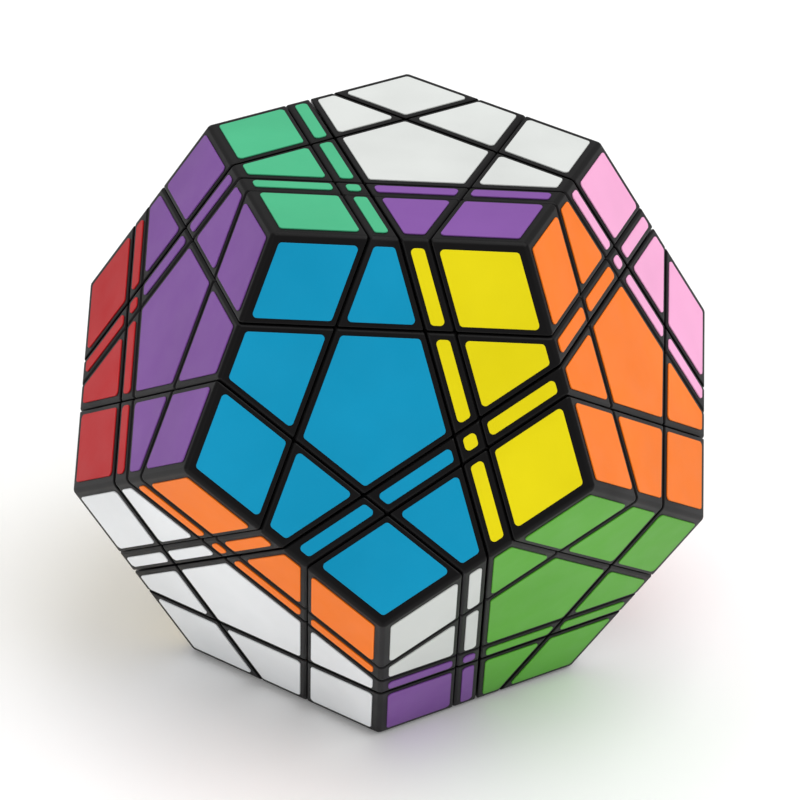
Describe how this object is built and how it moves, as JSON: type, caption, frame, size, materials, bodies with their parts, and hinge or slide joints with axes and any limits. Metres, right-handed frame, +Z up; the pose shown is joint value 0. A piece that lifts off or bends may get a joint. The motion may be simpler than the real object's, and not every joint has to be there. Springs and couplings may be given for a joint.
{
  "type": "dodecahedron twisty puzzle",
  "caption": "Dodecahedral twisty puzzle with face layers and centre cuts, coloured stickers on black plastic, resting on one face.",
  "frame": {"origin": "middle of the base face, on the surface that the puzzle stands on", "axes": "+Z up, square to the base face and the top face; -Y towards the front face; +X to the right of the front face"},
  "size_m": [0.0942, 0.099, 0.0805],
  "materials": {
    "black_plastic": "satin moulded ABS",
    "inner_plastic": "moulded nylon",
    "steel": "zinc-plated steel",
    "sticker_yellow": "satin vinyl",
    "sticker_blue": "satin vinyl",
    "sticker_purple": "satin vinyl",
    "sticker_green": "satin vinyl",
    "sticker_white": "satin vinyl",
    "sticker_orange": "satin vinyl",
    "sticker_pink": "satin vinyl",
    "sticker_gray": "satin vinyl",
    "sticker_red": "satin vinyl"
  },
  "bodies": {
    "lower_half": {"lower_main_centres": "black_plastic", "lower_centre_strips": "black_plastic", "lower_small_centres": "black_plastic", "lower_corners": "black_plastic", "lower_whole_edges": "black_plastic", "lower_half_edges": "black_plastic", "lower_centre_caps": "black_plastic", "lower_stickers": "sticker_orange", "lower_hub_blocks": "inner_plastic", "lower_corner_blocks": "inner_plastic", "lower_pivot_screws": "steel", "lower_pivot_springs": "steel", "lower_pivot_washers": "steel", "core": "inner_plastic", "core_screws": "steel", "core_springs": "steel", "core_washers": "steel"},
    "upper_half": {"upper_main_centres": "black_plastic", "upper_centre_strips": "black_plastic", "upper_small_centres": "black_plastic", "upper_corners": "black_plastic", "upper_whole_edges": "black_plastic", "upper_half_edges": "black_plastic", "upper_centre_caps": "black_plastic", "upper_stickers": "sticker_green", "upper_hub_blocks": "inner_plastic", "upper_corner_blocks": "inner_plastic", "upper_pivot_screws": "steel", "upper_pivot_springs": "steel", "upper_pivot_washers": "steel"},
    "front_face": {"front_main_centre": "black_plastic", "front_centre_strips": "black_plastic", "front_small_centre": "black_plastic", "front_corners": "black_plastic", "front_whole_edge": "black_plastic", "front_half_edges": "black_plastic", "front_centre_cap": "black_plastic", "front_stickers": "sticker_yellow"},
    "base_face": {"base_main_centre": "black_plastic", "base_centre_strips": "black_plastic", "base_small_centre": "black_plastic", "base_corners": "black_plastic", "base_whole_edge": "black_plastic", "base_half_edges": "black_plastic", "base_centre_cap": "black_plastic", "base_stickers": "sticker_gray"}
  },
  "joints": [
    {"name": "half_turn", "type": "hinge", "parent": "lower_half", "child": "upper_half", "pos_m": [0, 0, 0.04027], "axis": [0.3568, -0.4911, 0.7947], "continuous": true},
    {"name": "front_face_turn", "type": "hinge", "parent": "upper_half", "child": "front_face", "pos_m": [0, 0, 0.04027], "axis": [0, -0.8944, 0.4472], "continuous": true},
    {"name": "base_face_turn", "type": "hinge", "parent": "lower_half", "child": "base_face", "pos_m": [0, 0, 0.04027], "axis": [0, 0, -1], "continuous": true}
  ]
}
